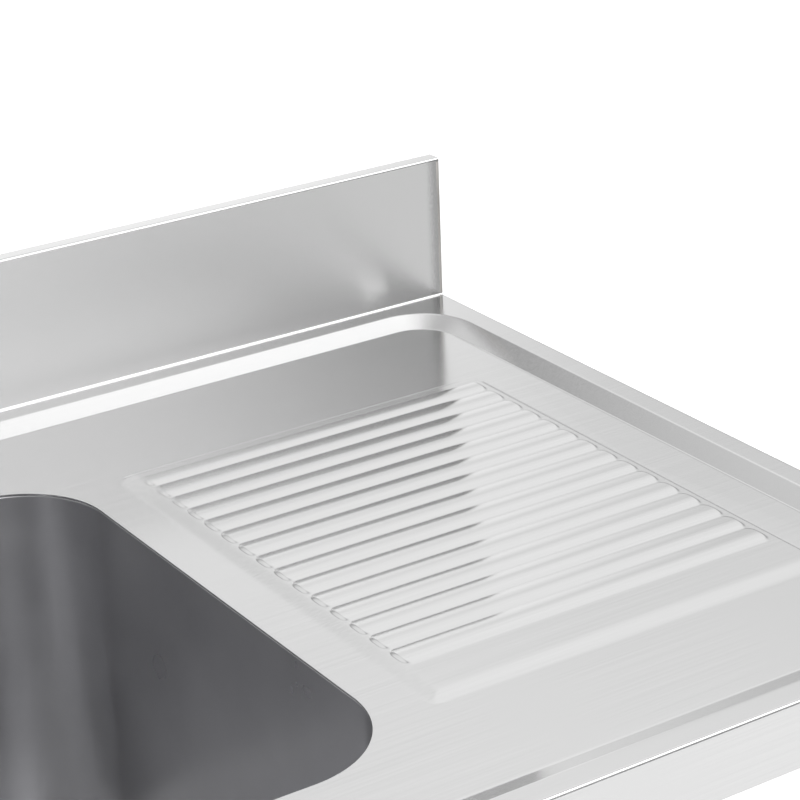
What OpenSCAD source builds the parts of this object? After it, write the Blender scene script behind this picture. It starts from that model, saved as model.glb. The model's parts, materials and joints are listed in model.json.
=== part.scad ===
// Catering sink table: a pressed worktop with a ribbed drainer and a backsplash,
// a welded bowl with a standpipe waste, and a leg frame with a shelf and levelling feet.
// Origin: on the floor, under the middle of the table. +X is the drainer end, +Y the wall side.

/* [Worktop] */
// Overall width of the table
top_w = 900; // [880:10:1200]
// Overall depth, backsplash included
top_d = 600; // [590:5:660]
// Height of the raised rim above the floor
top_h = 850; // [800:5:900]
// Thickness of the worktop sheet
sheet_t = 1.2; // [1:0.1:1.5]
// Width of the flat rim
rim_w = 16; // [14:0.5:20]
// Width of the slope between the rim and the floor of the worktop
slope_w = 15; // [12:0.5:17]
// Drop from the rim to the floor of the worktop
step_h = 5.5; // [4:0.5:8]
// Corner radius at the foot of the slope
floor_r = 28; // [20:1:40]
// Height of the folded apron
apron_h = 40; // [36:1:60]
// Width of the lip folded inwards under the apron
apron_lip = 12; // [10:1:16]

/* [Backsplash] */
// Height of the backsplash above the rim
splash_h = 100; // [60:5:200]
// Thickness of the backsplash over its top return
splash_return = 12; // [10:1:14]
// Depth of the lip behind the top return
splash_lip = 10; // [8:1:20]

/* [Drainer] */
// Number of ribs
rib_count = 15; // [8:1:16]
// Distance from one rib to the next
rib_pitch = 19.8; // [16:0.1:20]
// Height of the ribs above the panel
rib_h = 1.3; // [1:0.1:2.4]
// Height of the panel above the floor of the worktop
panel_rise = 1.3; // [0.6:0.1:1.6]
// Length of the panel from left to right
panel_l = 266; // [200:2:270]
// Front-to-back size of the panel
panel_d = 346; // [345:1:370]
// Distance from the right edge of the table to the panel
panel_right = 64; // [50:1:70]
// Distance from the backsplash to the panel
panel_back = 131; // [110:1:136]
// Width of the sloping border at the back and right of the panel
border_w = 5.5; // [5:0.5:10]
// Width of the ramps at the bowl side and the front of the panel
ramp_w = 16; // [10:1:20]
// Corner radius of the panel
panel_r = 13; // [8:1:18]

/* [Bowl] */
// Inside width of the bowl
bowl_w = 500; // [460:5:500]
// Inside front-to-back size of the bowl
bowl_d = 400; // [340:5:400]
// Inside depth of the bowl
bowl_depth = 250; // [200:5:300]
// Thickness of the bowl sheet
bowl_t = 1; // [0.8:0.1:1.5]
// Radius of the upright corners of the bowl
bowl_r = 60; // [50:1:70]
// Radius between the bowl walls and its bottom
bowl_bottom_r = 25; // [15:1:35]
// Width of the welding flange of the bowl
bowl_flange = 9; // [6:0.5:10]
// Distance from the ribbed panel to the bowl
bowl_margin = 25; // [20:1:35]
// Diameter of the tap hole behind the bowl
tap_hole_d = 35; // [28:0.5:36]

/* [Legs] */
// Outside diameter of the legs
leg_d = 38; // [32:1:42]
// Wall of the legs
leg_t = 1.2; // [1:0.1:2]
// Distance from the folded edges of the worktop to the middle of a leg
leg_inset = 45; // [42:1:46]
// Side of the corner gussets
gusset_w = 80; // [74:1:82]
// Thickness of the corner gussets
gusset_t = 2; // [1.5:0.5:4]
// Length of the leg sockets
socket_l = 55; // [40:1:80]
// Wall of the leg sockets and shelf collars
socket_t = 3; // [2:0.5:4]

/* [Shelf] */
// Height of the top of the shelf above the floor
shelf_h = 200; // [150:5:320]
// Thickness of the shelf sheet
shelf_t = 1; // [0.8:0.1:1.5]
// Height of the folded edge of the shelf
shelf_edge = 32; // [25:1:45]
// Length of the shelf collars
collar_l = 36; // [30:1:60]

/* [Feet] */
// Diameter of the foot pads
pad_d = 50; // [40:1:60]
// Height of the foot pads
pad_h = 14; // [12:0.5:20]
// Diameter of the foot studs
stud_d = 10; // [8:0.5:12]
// Thread length that the studs have inside the legs
stud_l = 54; // [45:1:70]
// Length of the inserts inside the legs
insert_l = 26; // [20:1:30]

/* [Waste] */
// Distance from the left and back walls of the bowl to the middle of the outlet
outlet_inset = 90; // [80:1:120]
// Diameter of the waste thread
waste_d = 47.8; // [40:0.1:50]
// Length of the waste tail below the bowl
tail_l = 62; // [50:1:90]
// Diameter of the waste flange
flange_d = 72; // [66:1:80]
// Outside diameter of the standpipe
pipe_d = 36; // [30:0.5:38]
// Height of the standpipe above the bottom of the bowl
pipe_h = 200; // [120:5:230]

/* [Stiffeners] */
// Width of the top of the hat channels
hat_w = 40; // [30:1:60]
// Width of each flange of the hat channels
hat_flange = 15; // [10:1:25]
// Height of the channel under the drainer
hat_h = 24; // [15:1:26]
// Thickness of the channels
hat_t = 1.5; // [1:0.1:2]
// Thickness of the sound pads
pad_t = 3; // [2:0.5:6]
// Front-to-back size of the sound pads under the drainer
drainer_pad_d = 220; // [100:10:280]
// Side of the sound pad under the bowl
bowl_pad_w = 150; // [100:10:180]
// Clear margin around the sound pads under the drainer
pad_margin = 8; // [4:1:12]

/* [Hidden] */

$fn = 96;
// Running clearance on radius, and the gap left between pieces that move past each other
fit = 0.05;
gap = 0.3;
// How far a cut runs past the face that it opens
cut = 1;

// Edges of the table and the front face of the backsplash
right = top_w / 2;
front = -top_d / 2;
back = top_d / 2;
splash_y = back - splash_return;
// Levels of the worktop
floor_z = top_h - step_h;
under_z = floor_z - sheet_t;
apron_z = top_h - apron_h;
// The rim opens at rim_r, and the slope runs from there down to floor_r
rim_r = floor_r + slope_w;
floor_inset = rim_w + slope_w;

// The ribbed panel. Each rib is a shallow cylinder segment as wide as the pitch, with a domed end.
panel_x1 = right - panel_right;
panel_x0 = panel_x1 - panel_l;
panel_y1 = splash_y - panel_back;
panel_y0 = panel_y1 - panel_d;
panel_z = floor_z + panel_rise;
rib_x0 = panel_x0 + ramp_w;
rib_x1 = panel_x1 - border_w;
first_rib_y = panel_y1 - border_w - rib_pitch / 2;
rib_r = (pow(rib_pitch / 2, 2) + pow(rib_h, 2)) / (2 * rib_h);

// The bowl
bowl_x1 = panel_x0 - bowl_margin;
bowl_x0 = bowl_x1 - bowl_w;
bowl_x = (bowl_x0 + bowl_x1) / 2;
bowl_y = (panel_y0 + panel_y1) / 2;
bowl_y0 = bowl_y - bowl_d / 2;
bowl_y1 = bowl_y + bowl_d / 2;
bowl_bottom_z = floor_z - bowl_depth;
tap_y = (splash_y - floor_inset + bowl_y1) / 2;
outlet_x = bowl_x0 + outlet_inset;
outlet_y = bowl_y1 - outlet_inset;

// Legs and feet
leg_x = right - leg_inset;
leg_y = splash_y - leg_inset;
leg_front_y = front + leg_inset;
gusset_z = apron_z + sheet_t;
socket_r = leg_d / 2 + gap / 2 + socket_t;
insert_flange = 2.5;
// Hexagon of the stud, above the pad by the room that the pad needs to tilt
hex_h = 6;
hex_r = stud_d / 2 + 4.5;
tilt_room = 1.2;
hex_z = pad_h + tilt_room;
insert_z = hex_z + hex_h + gap;
leg_z = insert_z + insert_flange;
// The stud's button turns in the cavity of the pad, held by the pad's mouth round its neck
neck_r = stud_d / 2 - 1;
button_r = stud_d / 2 + 1.2;
pad_floor = 5;
pad_mouth = 3;
pad_wall = 3;
pad_chamfer = 1.5;
pad_rim_h = 4;
pad_rim_in = 4;
pad_skirt_h = 7;
cavity_top = pad_h - pad_mouth;
// Grub screws with a hexagon socket
screw_r = 3;
screw_l = 6;
screw_hex_r = 1.5;
screw_hex_depth = 2.5;

// Waste
waste_r = waste_d / 2;
outlet_clear = 1.5;
outlet_r = waste_r + outlet_clear;
flange_t = 2.5;
flange_edge = 1;
flange_bevel = 2;
seal_t = 2;
seal_inset = 1;
lower_seal_t = 3;
nut_h = 12;
nut_r = 34;
nut_collar_h = 3;
// The seat narrows from its mouth to the throat, with a short lead at its foot
seat_lip = 2;
seat_r = pipe_d / 2 + seat_lip;
throat_r = pipe_d / 2 - 3;
seat_h = 12;
lead_r = 1;
lead_h = 2;
pipe_t = 1.2;
flange_z = bowl_bottom_z + seal_t;
nut_z = bowl_bottom_z - bowl_t - lower_seal_t - nut_h;
// Relief groove below the nut, which parts its thread from the one for the trap
relief_w = 2;
relief_depth = 1;
relief_drop = 1;
relief_z = nut_z - relief_drop;
seat_z = flange_z + flange_t;

// The foot of the standpipe is a turned plug that seats in the cone of the waste
function cone_r(z) = seat_r - (seat_r - throat_r - lead_r) * (seat_z - z) / seat_h;
plug_drop = 9;
plug_rise = 8;
plug_top = seat_z + plug_rise;
plug_wall = 2.5;
plug_taper = 6;
plug_clear = 1;
plug_bore_r = throat_r - plug_wall;
lip_t = 3;
bead_h = 3;
slot_w = 8;
slot_h = 26;
slot_drop = 12;
seal_drop = 5;
seal_z = seat_z - seal_drop;
oring_r = 1.4;
oring_clear = 0.2;
oring_x = cone_r(seal_z) - oring_r - oring_clear;
plug_core_r = oring_x - oring_r - fit;

// Stiffeners and shelf collars
stiffener_x = (panel_x0 + panel_x1) / 2;
// The collars stand a little above the shelf, and their screws are below it
collar_proud = 2;
collar_z = shelf_h - collar_l + collar_proud;
collar_screw_rise = 8;
collar_screw_z = collar_z + collar_screw_rise;

// Bonding bolt, near the inner corner of the rear right gusset
bond_r = 3;
bond_inset = 12;
bond_x = right - sheet_t - gusset_w + bond_inset;
bond_y = splash_y - sheet_t - gusset_w + bond_inset;
bond_head_r = 5.8;
bond_head_h = 4;
bond_nut_h = 5;
bond_washer_t = 1.2;
bond_washer_rim = 1.2;
bond_tail = 10;

steel = [0.78, 0.79, 0.8];
dull_steel = [0.62, 0.63, 0.65];
black = [0.12, 0.12, 0.13];

CORNERS = [[-1, -1], [1, -1], [-1, 1], [1, 1]];

// Flat shapes

module rounded(x0, y0, x1, y1, r) {
    centres = [[x0 + r, y0 + r], [x1 - r, y0 + r], [x0 + r, y1 - r], [x1 - r, y1 - r]];
    translate([x0 + r, y0]) square([x1 - x0 - 2 * r, y1 - y0]);
    translate([x0, y0 + r]) square([x1 - x0, y1 - y0 - 2 * r]);
    for (p = centres) translate(p) circle(r);
}

module rect(x0, y0, x1, y1) {
    translate([x0, y0]) square([x1 - x0, y1 - y0]);
}

// Runs an (outwards, up) profile round a rounded rectangle; out = 0 lies on the corner arc of radius r
module run_round(x0, y0, x1, y1, r) {
    sides = [
        [[x1 - r, y0, 0], [90, 0, 180], x1 - x0 - 2 * r],
        [[x0 + r, y1, 0], [90, 0, 0], x1 - x0 - 2 * r],
        [[x0, y0 + r, 0], [90, 0, 90], y1 - y0 - 2 * r],
        [[x1, y1 - r, 0], [90, 0, -90], y1 - y0 - 2 * r]
    ];
    corners = [[x1 - r, y1 - r, 0], [x0 + r, y1 - r, 90], [x0 + r, y0 + r, 180], [x1 - r, y0 + r, 270]];
    for (c = corners)
        translate([c[0], c[1], 0]) rotate([0, 0, c[2]])
            rotate_extrude(angle = 90) translate([r, 0]) children();
    for (s = sides)
        translate(s[0]) rotate([0, 0, s[1][2]]) rotate([90, 0, 90])
            linear_extrude(s[2]) children();
}

// Worktop

module slope_profile() {
    polygon([[0, floor_z], [slope_w, top_h], [slope_w, top_h - sheet_t], [0, under_z]]);
}

// The panel down to the underside of the floor, with its borders sloping up from the floor
module panel_block() {
    intersection() {
        translate([0, panel_y1, 0]) rotate([90, 0, 0]) linear_extrude(panel_d)
            polygon([[panel_x0, under_z], [panel_x0, floor_z], [rib_x0, panel_z],
                     [rib_x1, panel_z], [panel_x1, floor_z], [panel_x1, under_z]]);
        translate([panel_x0, 0, 0]) rotate([90, 0, 90]) linear_extrude(panel_l)
            polygon([[panel_y0, under_z], [panel_y0, floor_z], [panel_y0 + ramp_w, panel_z],
                     [panel_y1 - border_w, panel_z], [panel_y1, floor_z], [panel_y1, under_z]]);
        translate([0, 0, under_z]) linear_extrude(panel_z - under_z)
            rounded(panel_x0, panel_y0, panel_x1, panel_y1, panel_r);
    }
}

module ribs() {
    end = rib_pitch / 2;
    intersection() {
        for (i = [0 : rib_count - 1])
            translate([rib_x0 + end, first_rib_y - i * rib_pitch, panel_z + rib_h - rib_r]) {
                rotate([0, 90, 0]) cylinder(r = rib_r, h = rib_x1 - rib_x0 - 2 * end);
                sphere(rib_r);
                translate([rib_x1 - rib_x0 - 2 * end, 0, 0]) sphere(rib_r);
            }
        translate([0, 0, floor_z]) linear_extrude(panel_rise + 2 * rib_h)
            rect(rib_x0, panel_y0, rib_x1, panel_y1);
    }
}

module pressed_panel() {
    panel_block();
    ribs();
}

module worktop() {
    color(steel) {
        difference() {
            union() {
                difference() {
                    union() {
                        translate([0, 0, under_z]) linear_extrude(sheet_t)
                            rounded(-right + floor_inset, front + floor_inset, right - floor_inset,
                                    splash_y - floor_inset, floor_r);
                        pressed_panel();
                    }
                    translate([0, 0, -sheet_t]) pressed_panel();
                }
                translate([0, 0, apron_z]) linear_extrude(apron_h) difference() {
                    rect(-right, front, right, splash_y);
                    rect(-right + sheet_t, front + sheet_t, right - sheet_t, splash_y - sheet_t);
                }
                translate([0, 0, apron_z]) linear_extrude(sheet_t) difference() {
                    rect(-right, front, right, splash_y);
                    rect(-right + apron_lip, front + apron_lip, right - apron_lip, splash_y - apron_lip);
                }
                translate([0, 0, top_h - sheet_t]) linear_extrude(sheet_t) difference() {
                    rect(-right, front, right, splash_y);
                    rounded(-right + rim_w, front + rim_w, right - rim_w, splash_y - rim_w, rim_r);
                }
                run_round(-right + floor_inset, front + floor_inset, right - floor_inset,
                          splash_y - floor_inset, floor_r) slope_profile();
            }
            translate([0, 0, under_z - cut]) linear_extrude(sheet_t + 2 * cut)
                rounded(bowl_x0, bowl_y0, bowl_x1, bowl_y1, bowl_r);
            translate([bowl_x, tap_y, under_z - cut])
                cylinder(d = tap_hole_d, h = sheet_t + 2 * cut);
        }
    }
}

// Backsplash

module backsplash() {
    top_z = top_h + splash_h;
    color(steel) translate([-right, 0, 0]) rotate([90, 0, 90]) difference() {
        linear_extrude(top_w) polygon([
            [splash_y, apron_z], [splash_y, top_z], [back, top_z], [back, top_z - splash_lip],
            [back - sheet_t, top_z - splash_lip], [back - sheet_t, top_z - sheet_t],
            [splash_y + sheet_t, top_z - sheet_t], [splash_y + sheet_t, apron_z]
        ]);
        for (x = [-cut, top_w - sheet_t])
            translate([splash_y + sheet_t, top_h, x])
                cube([splash_return, splash_h - sheet_t, sheet_t + cut]);
    }
}

module splash_end(side) {
    color(steel) translate([side > 0 ? right - sheet_t : -right, splash_y + sheet_t, top_h])
        cube([sheet_t, splash_return - sheet_t, splash_h - sheet_t]);
}

// Bowl

module bowl_profile() {
    rb = bowl_bottom_r;
    top_z = under_z;
    difference() {
        union() {
            translate([0, bowl_bottom_z + rb]) square([bowl_t, top_z - bowl_bottom_z - rb]);
            translate([0, top_z - bowl_t]) square([bowl_flange, bowl_t]);
            intersection() {
                translate([-rb, bowl_bottom_z + rb]) circle(rb + bowl_t);
                translate([-rb, bowl_bottom_z - bowl_t]) square([rb + bowl_t, rb + bowl_t]);
            }
        }
        translate([-rb, bowl_bottom_z + rb]) circle(rb);
    }
}

module bowl() {
    rb = bowl_bottom_r;
    color(steel) difference() {
        union() {
            run_round(bowl_x0, bowl_y0, bowl_x1, bowl_y1, bowl_r) bowl_profile();
            translate([0, 0, bowl_bottom_z - bowl_t]) linear_extrude(bowl_t)
                rounded(bowl_x0 + rb, bowl_y0 + rb, bowl_x1 - rb, bowl_y1 - rb, bowl_r - rb);
        }
        translate([outlet_x, outlet_y, bowl_bottom_z - bowl_t - cut])
            cylinder(r = outlet_r, h = bowl_t + 2 * cut);
    }
}

// Waste

module waste_body() {
    low_z = bowl_bottom_z - tail_l;
    color(steel) translate([outlet_x, outlet_y, 0]) rotate_extrude() polygon([
        [throat_r, low_z], [waste_r, low_z], [waste_r, relief_z - relief_w],
        [waste_r - relief_depth, relief_z - relief_w], [waste_r - relief_depth, relief_z],
        [waste_r, relief_z], [waste_r, flange_z],
        [flange_d / 2, flange_z], [flange_d / 2, flange_z + flange_edge],
        [flange_d / 2 - flange_bevel, seat_z],
        [seat_r, seat_z], [throat_r + lead_r, seat_z - seat_h], [throat_r, seat_z - seat_h - lead_h]
    ]);
}

module ring(inner, outer, z, h) {
    translate([outlet_x, outlet_y, z]) difference() {
        cylinder(r = outer, h = h);
        translate([0, 0, -cut]) cylinder(r = inner, h = h + 2 * cut);
    }
}

module waste_seal_upper() {
    color(black) ring(waste_r + gap, flange_d / 2 - seal_inset, bowl_bottom_z, seal_t);
}

module waste_seal_lower() {
    color(black) ring(waste_r + gap, nut_r, bowl_bottom_z - bowl_t - lower_seal_t, lower_seal_t);
}

module waste_nut() {
    color(dull_steel)
        translate([outlet_x, outlet_y, nut_z]) difference() {
            union() {
                cylinder(r = nut_r, h = nut_h, $fn = 6);
                translate([0, 0, nut_h - nut_collar_h]) cylinder(r = nut_r, h = nut_collar_h);
            }
            translate([0, 0, -cut]) cylinder(r = waste_r + fit, h = nut_h + 2 * cut);
        }
}

module standpipe() {
    top_z = bowl_bottom_z + pipe_h;
    foot_z = seat_z - plug_drop;
    groove = oring_r + fit;
    lip_z = seat_z + gap;
    color(steel) translate([outlet_x, outlet_y, 0]) difference() {
        rotate_extrude() polygon([
            [plug_bore_r, foot_z], [cone_r(foot_z) - plug_clear, foot_z],
            [cone_r(seal_z - groove) - plug_clear, seal_z - groove],
            [plug_core_r, seal_z - groove], [plug_core_r, seal_z + groove], [pipe_d / 2, seal_z + groove],
            [pipe_d / 2, lip_z], [seat_r + seat_lip, lip_z], [seat_r + seat_lip, lip_z + lip_t],
            [pipe_d / 2, plug_top], [pipe_d / 2, top_z - bead_h], [pipe_d / 2 + bead_h / 2, top_z],
            [pipe_d / 2 - pipe_t + bead_h / 2, top_z], [pipe_d / 2 - pipe_t, top_z - bead_h],
            [pipe_d / 2 - pipe_t, plug_top], [plug_bore_r, plug_top - plug_taper]
        ]);
        for (a = [0, 90])
            rotate([0, 0, a]) translate([-pipe_d, -slot_w / 2, top_z - slot_drop - slot_h])
                cube([2 * pipe_d, slot_w, slot_h]);
    }
}

module standpipe_seal() {
    color(black) translate([outlet_x, outlet_y, seal_z])
        rotate_extrude() translate([oring_x, 0]) circle(oring_r);
}

// Stiffeners and sound pads

module hat(w, flange, h, t) {
    polygon([
        [-w / 2 - flange, h], [-w / 2 - flange, h - t], [-w / 2 - t, h - t], [-w / 2, 0], [w / 2, 0],
        [w / 2 + t, h - t], [w / 2 + flange, h - t], [w / 2 + flange, h],
        [w / 2, h], [w / 2 - t, t], [-w / 2 + t, t], [-w / 2, h]
    ]);
}

module drainer_stiffener() {
    color(dull_steel) translate([stiffener_x, splash_y - sheet_t, under_z - hat_h]) rotate([90, 0, 0])
        linear_extrude(splash_y - front - 2 * sheet_t) hat(hat_w, hat_flange, hat_h, hat_t);
}

// The pads are glued to the undersides of the valleys between the ribs
module drainer_sound_pad(side) {
    near = stiffener_x + side * (hat_w / 2 + hat_flange + pad_margin);
    far = side > 0 ? rib_x1 - pad_margin : rib_x0 + pad_margin;
    color(black) translate([min(near, far), bowl_y - drainer_pad_d / 2, panel_z - sheet_t - pad_t])
        cube([abs(far - near), drainer_pad_d, pad_t]);
}

module bowl_sound_pad() {
    color(black) translate([bowl_x + pad_margin, bowl_y - bowl_pad_w / 2, bowl_bottom_z - bowl_t - pad_t])
        cube([bowl_pad_w, bowl_pad_w, pad_t]);
}

// Leg frame

module at_corner(c) {
    translate([c[0] * leg_x, c[1] < 0 ? leg_front_y : leg_y, 0]) children();
}

module tube(outer, inner, z, h) {
    translate([0, 0, z]) difference() {
        cylinder(r = outer, h = h);
        translate([0, 0, -cut]) cylinder(r = inner, h = h + 2 * cut);
    }
}

// The plates lie on the apron lips, inside the aprons
module gusset(c) {
    inner_y = c[1] < 0 ? front + sheet_t : splash_y - sheet_t;
    x = c[0] * (right - sheet_t);
    color(dull_steel) translate([0, 0, gusset_z]) difference() {
        linear_extrude(gusset_t)
            rect(min(x, x - c[0] * gusset_w), min(inner_y, inner_y - c[1] * gusset_w),
                 max(x, x - c[0] * gusset_w), max(inner_y, inner_y - c[1] * gusset_w));
        if (c == CORNERS[3])
            translate([bond_x, bond_y, -cut]) cylinder(r = bond_r + fit, h = gusset_t + 2 * cut);
    }
}

module screw_angles(c) {
    for (a = [c[0] < 0 ? 0 : 180, c[1] < 0 ? 90 : -90]) rotate([0, 0, a]) children();
}

module socket(c) {
    color(dull_steel) at_corner(c) difference() {
        tube(socket_r, leg_d / 2 + gap / 2, gusset_z - socket_l, socket_l);
        translate([0, 0, gusset_z - socket_l / 2]) screw_angles(c)
            rotate([0, 90, 0]) cylinder(r = screw_r + fit, h = 2 * socket_r);
    }
}

module leg(c) {
    color(steel) at_corner(c) tube(leg_d / 2, leg_d / 2 - leg_t, leg_z, gusset_z - leg_z);
}

module insert(c) {
    color(black) at_corner(c) difference() {
        union() {
            translate([0, 0, insert_z]) cylinder(r = leg_d / 2, h = insert_flange);
            translate([0, 0, leg_z]) cylinder(r = leg_d / 2 - leg_t - fit, h = insert_l);
        }
        translate([0, 0, insert_z - cut])
            cylinder(r = stud_d / 2 + fit, h = insert_l + insert_flange + 2 * cut);
    }
}

module foot_stud(c) {
    color(dull_steel) at_corner(c) {
        translate([0, 0, pad_floor + gap]) cylinder(r = button_r, h = cavity_top - pad_floor - 2 * gap);
        translate([0, 0, pad_floor + gap]) cylinder(r = neck_r, h = hex_z - pad_floor);
        translate([0, 0, hex_z]) cylinder(r = hex_r, h = hex_h, $fn = 6);
        translate([0, 0, hex_z]) cylinder(r = stud_d / 2, h = hex_h + stud_l);
    }
}

module foot_pad(c) {
    r = pad_d / 2;
    color(black) at_corner(c) rotate_extrude() polygon([
        [0, 0], [r - pad_chamfer, 0], [r, pad_chamfer], [r, pad_rim_h], [r - pad_rim_in, pad_skirt_h],
        [button_r + pad_wall + 1, pad_h - 1], [button_r + pad_wall, pad_h],
        [neck_r + gap, pad_h], [neck_r + gap, cavity_top], [button_r + gap, cavity_top],
        [button_r + gap, pad_floor], [0, pad_floor]
    ]);
}

// Shelf

module collar(c) {
    color(dull_steel) at_corner(c) difference() {
        tube(socket_r, leg_d / 2 + gap / 2, collar_z, collar_l);
        translate([0, 0, collar_screw_z]) rotate([0, 0, atan2(c[1], c[0])])
            rotate([0, 90, 0]) cylinder(r = screw_r + fit, h = 2 * socket_r);
    }
}

module shelf() {
    x = leg_x + leg_d / 2;
    y0 = leg_front_y - leg_d / 2;
    y1 = leg_y + leg_d / 2;
    color(steel) difference() {
        union() {
            translate([0, 0, shelf_h - shelf_t]) linear_extrude(shelf_t) rect(-x, y0, x, y1);
            translate([0, 0, shelf_h - shelf_edge]) linear_extrude(shelf_edge) difference() {
                rect(-x, y0, x, y1);
                rect(-x + shelf_t, y0 + shelf_t, x - shelf_t, y1 - shelf_t);
            }
            translate([0, 0, shelf_h - shelf_edge]) linear_extrude(shelf_t) difference() {
                rect(-x, y0, x, y1);
                rect(-x + apron_lip, y0 + apron_lip, x - apron_lip, y1 - apron_lip);
            }
        }
        for (c = CORNERS) at_corner(c) translate([0, 0, shelf_h - shelf_edge - cut]) {
            cylinder(r = socket_r + fit, h = shelf_edge + 2 * cut);
            translate([c[0] < 0 ? -2 * leg_d : 0, c[1] < 0 ? -2 * leg_d : 0, 0])
                cube([2 * leg_d, 2 * leg_d, shelf_edge + 2 * cut]);
        }
    }
}

module shelf_stiffener() {
    length = 2 * (leg_x + leg_d / 2 - shelf_t);
    mid_y = (leg_front_y + leg_y) / 2;
    h = shelf_edge - 2 * shelf_t - gap;
    color(dull_steel) translate([-length / 2, mid_y, shelf_h - shelf_t - h]) rotate([90, 0, 90])
        linear_extrude(length) hat(hat_w, hat_flange, h, hat_t);
}

// Screws

module grub_screw() {
    rotate([0, 90, 0]) difference() {
        translate([0, 0, leg_d / 2]) cylinder(r = screw_r, h = screw_l);
        translate([0, 0, leg_d / 2 + screw_l - screw_hex_depth])
            cylinder(r = screw_hex_r, h = screw_hex_depth + cut, $fn = 6);
    }
}

module socket_screws() {
    color(dull_steel) for (c = CORNERS) at_corner(c) translate([0, 0, gusset_z - socket_l / 2])
        screw_angles(c) grub_screw();
}

module collar_screws() {
    color(dull_steel) for (c = CORNERS) at_corner(c) translate([0, 0, collar_screw_z])
        rotate([0, 0, atan2(c[1], c[0])]) grub_screw();
}

// Bonding point for the earth wire, on the rear right gusset

module bonding_bolt() {
    low_z = gusset_z - bond_washer_t - bond_nut_h - bond_tail;
    color(steel) translate([bond_x, bond_y, 0]) {
        translate([0, 0, gusset_z + gusset_t]) cylinder(r = bond_head_r, h = bond_head_h, $fn = 6);
        translate([0, 0, low_z]) cylinder(r = bond_r, h = gusset_z + gusset_t + bond_head_h / 2 - low_z);
    }
}

module bonding_washer() {
    color(steel) translate([bond_x, bond_y, 0])
        tube(bond_head_r + bond_washer_rim, bond_r + fit, gusset_z - bond_washer_t, bond_washer_t);
}

module bonding_nut() {
    color(steel) translate([bond_x, bond_y, gusset_z - bond_washer_t - bond_nut_h]) difference() {
        cylinder(r = bond_head_r, h = bond_nut_h, $fn = 6);
        translate([0, 0, -cut]) cylinder(r = bond_r + fit, h = bond_nut_h + 2 * cut);
    }
}

worktop();
backsplash();
splash_end(-1);  // splash_end_left
splash_end(1);  // splash_end_right
bowl();
drainer_stiffener();
drainer_sound_pad(-1);  // drainer_sound_pad_left
drainer_sound_pad(1);  // drainer_sound_pad_right
bowl_sound_pad();
gusset(CORNERS[0]);  // gusset_front_left
gusset(CORNERS[1]);  // gusset_front_right
gusset(CORNERS[2]);  // gusset_rear_left
gusset(CORNERS[3]);  // gusset_rear_right
socket(CORNERS[0]);  // socket_front_left
socket(CORNERS[1]);  // socket_front_right
socket(CORNERS[2]);  // socket_rear_left
socket(CORNERS[3]);  // socket_rear_right
leg(CORNERS[0]);  // leg_front_left
leg(CORNERS[1]);  // leg_front_right
leg(CORNERS[2]);  // leg_rear_left
leg(CORNERS[3]);  // leg_rear_right
insert(CORNERS[0]);  // insert_front_left
insert(CORNERS[1]);  // insert_front_right
insert(CORNERS[2]);  // insert_rear_left
insert(CORNERS[3]);  // insert_rear_right
foot_stud(CORNERS[0]);  // foot_stud_front_left
foot_stud(CORNERS[1]);  // foot_stud_front_right
foot_stud(CORNERS[2]);  // foot_stud_rear_left
foot_stud(CORNERS[3]);  // foot_stud_rear_right
foot_pad(CORNERS[0]);  // foot_pad_front_left
foot_pad(CORNERS[1]);  // foot_pad_front_right
foot_pad(CORNERS[2]);  // foot_pad_rear_left
foot_pad(CORNERS[3]);  // foot_pad_rear_right
collar(CORNERS[0]);  // collar_front_left
collar(CORNERS[1]);  // collar_front_right
collar(CORNERS[2]);  // collar_rear_left
collar(CORNERS[3]);  // collar_rear_right
shelf();
shelf_stiffener();
socket_screws();
collar_screws();
waste_body();
waste_seal_upper();
waste_seal_lower();
waste_nut();
standpipe();
standpipe_seal();
bonding_bolt();
bonding_washer();
bonding_nut();
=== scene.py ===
"""Looks of the sink table: pressed and brushed stainless sheet, a welded bowl, tube legs and a shelf."""

import json
import math

import bmesh
import bpy
from bpy.props import FloatProperty, FloatVectorProperty, PointerProperty
from mathutils import Matrix, Vector

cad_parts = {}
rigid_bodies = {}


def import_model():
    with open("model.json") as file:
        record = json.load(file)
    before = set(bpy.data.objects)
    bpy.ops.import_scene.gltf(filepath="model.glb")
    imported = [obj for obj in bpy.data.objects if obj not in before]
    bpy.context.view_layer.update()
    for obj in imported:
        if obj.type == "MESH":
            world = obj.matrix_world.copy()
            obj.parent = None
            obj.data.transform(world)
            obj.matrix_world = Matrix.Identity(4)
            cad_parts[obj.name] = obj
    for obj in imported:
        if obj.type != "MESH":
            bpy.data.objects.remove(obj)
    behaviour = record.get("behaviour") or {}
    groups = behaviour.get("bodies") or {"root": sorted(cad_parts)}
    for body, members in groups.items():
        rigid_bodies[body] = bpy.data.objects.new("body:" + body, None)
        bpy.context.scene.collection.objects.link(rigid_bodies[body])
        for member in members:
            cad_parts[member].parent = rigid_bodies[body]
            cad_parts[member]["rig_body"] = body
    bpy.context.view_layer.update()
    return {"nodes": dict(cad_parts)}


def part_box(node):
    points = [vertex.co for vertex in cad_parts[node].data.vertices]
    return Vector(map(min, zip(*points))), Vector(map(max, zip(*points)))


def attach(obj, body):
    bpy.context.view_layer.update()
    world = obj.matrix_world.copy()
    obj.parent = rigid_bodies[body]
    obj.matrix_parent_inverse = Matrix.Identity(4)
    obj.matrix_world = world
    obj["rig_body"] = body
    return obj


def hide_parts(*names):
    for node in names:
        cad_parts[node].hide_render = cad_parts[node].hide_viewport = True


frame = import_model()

bl_info = {
    "name": "Sink table",
    "version": (1, 0, 0),
    "blender": (4, 5, 0),
    "location": "View3D > Sidebar > Sink table",
    "description": "Builds the looks of a stainless sink table with a ribbed drainer around its frame",
    "category": "Add Mesh",
}

MM = 0.001
CORNERS = ("front_left", "front_right", "rear_left", "rear_right")
SHEET = 1.2 * MM

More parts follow.
